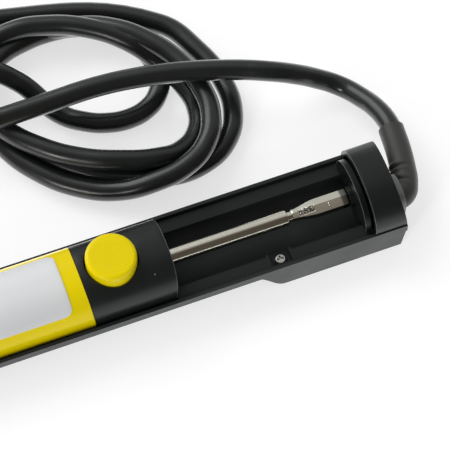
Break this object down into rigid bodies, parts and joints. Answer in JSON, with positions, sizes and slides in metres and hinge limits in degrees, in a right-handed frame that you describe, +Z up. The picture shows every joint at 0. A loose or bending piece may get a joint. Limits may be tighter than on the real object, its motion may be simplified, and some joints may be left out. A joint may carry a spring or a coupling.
{
  "type": "desoldering pump",
  "caption": "Mains-heated desoldering pump with a spring-driven suction plunger, a release button and an attached cord.",
  "frame": {"origin": "on the bench under the middle of the tool, without its cord", "axes": "+X from the nozzle to the cord end, +Y to the side where the cord lies, +Z up"},
  "size_m": [0.2512, 0.1245, 0.0373],
  "materials": {
    "yellow_plastic": "satin moulded, slightly glossy",
    "black_plastic": "fine textured, satin",
    "label_film": "smooth pale film with a dull gloss",
    "aluminium_tube": "drawn, dull",
    "black_rubber": "satin flexible plastic or rubber",
    "spring_steel": "drawn wire",
    "nickel": "nickel plated, polished",
    "steel_sheet": "plain, satin",
    "ceramic_white": "fired, dull white",
    "copper_tip": "iron plated copper, heat tinted",
    "zinc": "bright zinc plated",
    "brown_wire": "smooth insulation",
    "blue_wire": "smooth insulation",
    "green_wire": "smooth insulation with a yellow stripe",
    "crimp_brass": "plain pressed"
  },
  "bodies": {
    "case": {"button_spring": "spring_steel", "case_screw_1": "zinc", "case_screw_2": "zinc", "case_screw_3": "zinc", "case_screw_4": "zinc", "catch_bracket": "steel_sheet", "channel_cover": "black_plastic", "channel_screw": "zinc", "clamp_screw_1": "zinc", "clamp_screw_2": "zinc", "cord_clamp": "black_plastic", "cord_coil": "black_rubber", "cord_entry": "black_rubber", "cord_lead": "black_rubber", "core_earth": "green_wire", "core_live": "brown_wire", "core_neutral": "blue_wire", "crimp_earth": "crimp_brass", "crimp_live": "crimp_brass", "crimp_neutral": "crimp_brass", "cylinder_head": "black_rubber", "cylinder_tube": "aluminium_tube", "earth_clip_1": "nickel", "earth_clip_2": "nickel", "end_cap": "black_plastic", "flange_screw_1": "zinc", "flange_screw_2": "zinc", "flange_screw_3": "zinc", "front_shell": "yellow_plastic", "heater_barrel": "steel_sheet", "heater_core": "ceramic_white", "heater_winding": "copper_tip", "label_plate": "label_film", "lead_earth": "green_wire", "lead_live": "brown_wire", "lead_neutral": "blue_wire", "lower_tray": "black_plastic", "main_spring": "spring_steel", "mains_cord": "black_rubber", "mounting_flange": "steel_sheet", "nose_cap": "black_plastic", "nozzle": "copper_tip", "plug_body": "black_rubber", "plug_pin_1": "nickel", "plug_pin_2": "nickel", "rear_bush": "black_plastic", "rear_plate": "black_plastic", "rear_shell": "black_plastic", "strain_relief": "black_rubber", "suction_tube": "steel_sheet", "tip_nut": "steel_sheet"},
    "plunger": {"plunger_rod": "nickel", "rod_end_bar": "nickel", "thumb_plate": "black_plastic", "piston": "black_plastic", "piston_seal": "black_rubber"},
    "button": {"release_button": "yellow_plastic", "catch_plate": "steel_sheet"}
  },
  "joints": [
    {"name": "plunger_slide", "type": "slide", "parent": "case", "child": "plunger", "axis": [-1, 0, 0], "range_m": [0, 0.0517], "stiffness_N_per_m": 600, "springref_m": -0.01, "deforming": ["main_spring"]},
    {"name": "button_press", "type": "slide", "parent": "case", "child": "button", "axis": [0, 0, -1], "range_m": [0, 0.003], "stiffness_N_per_m": 400, "springref_m": -0.004, "deforming": ["button_spring"]}
  ]
}
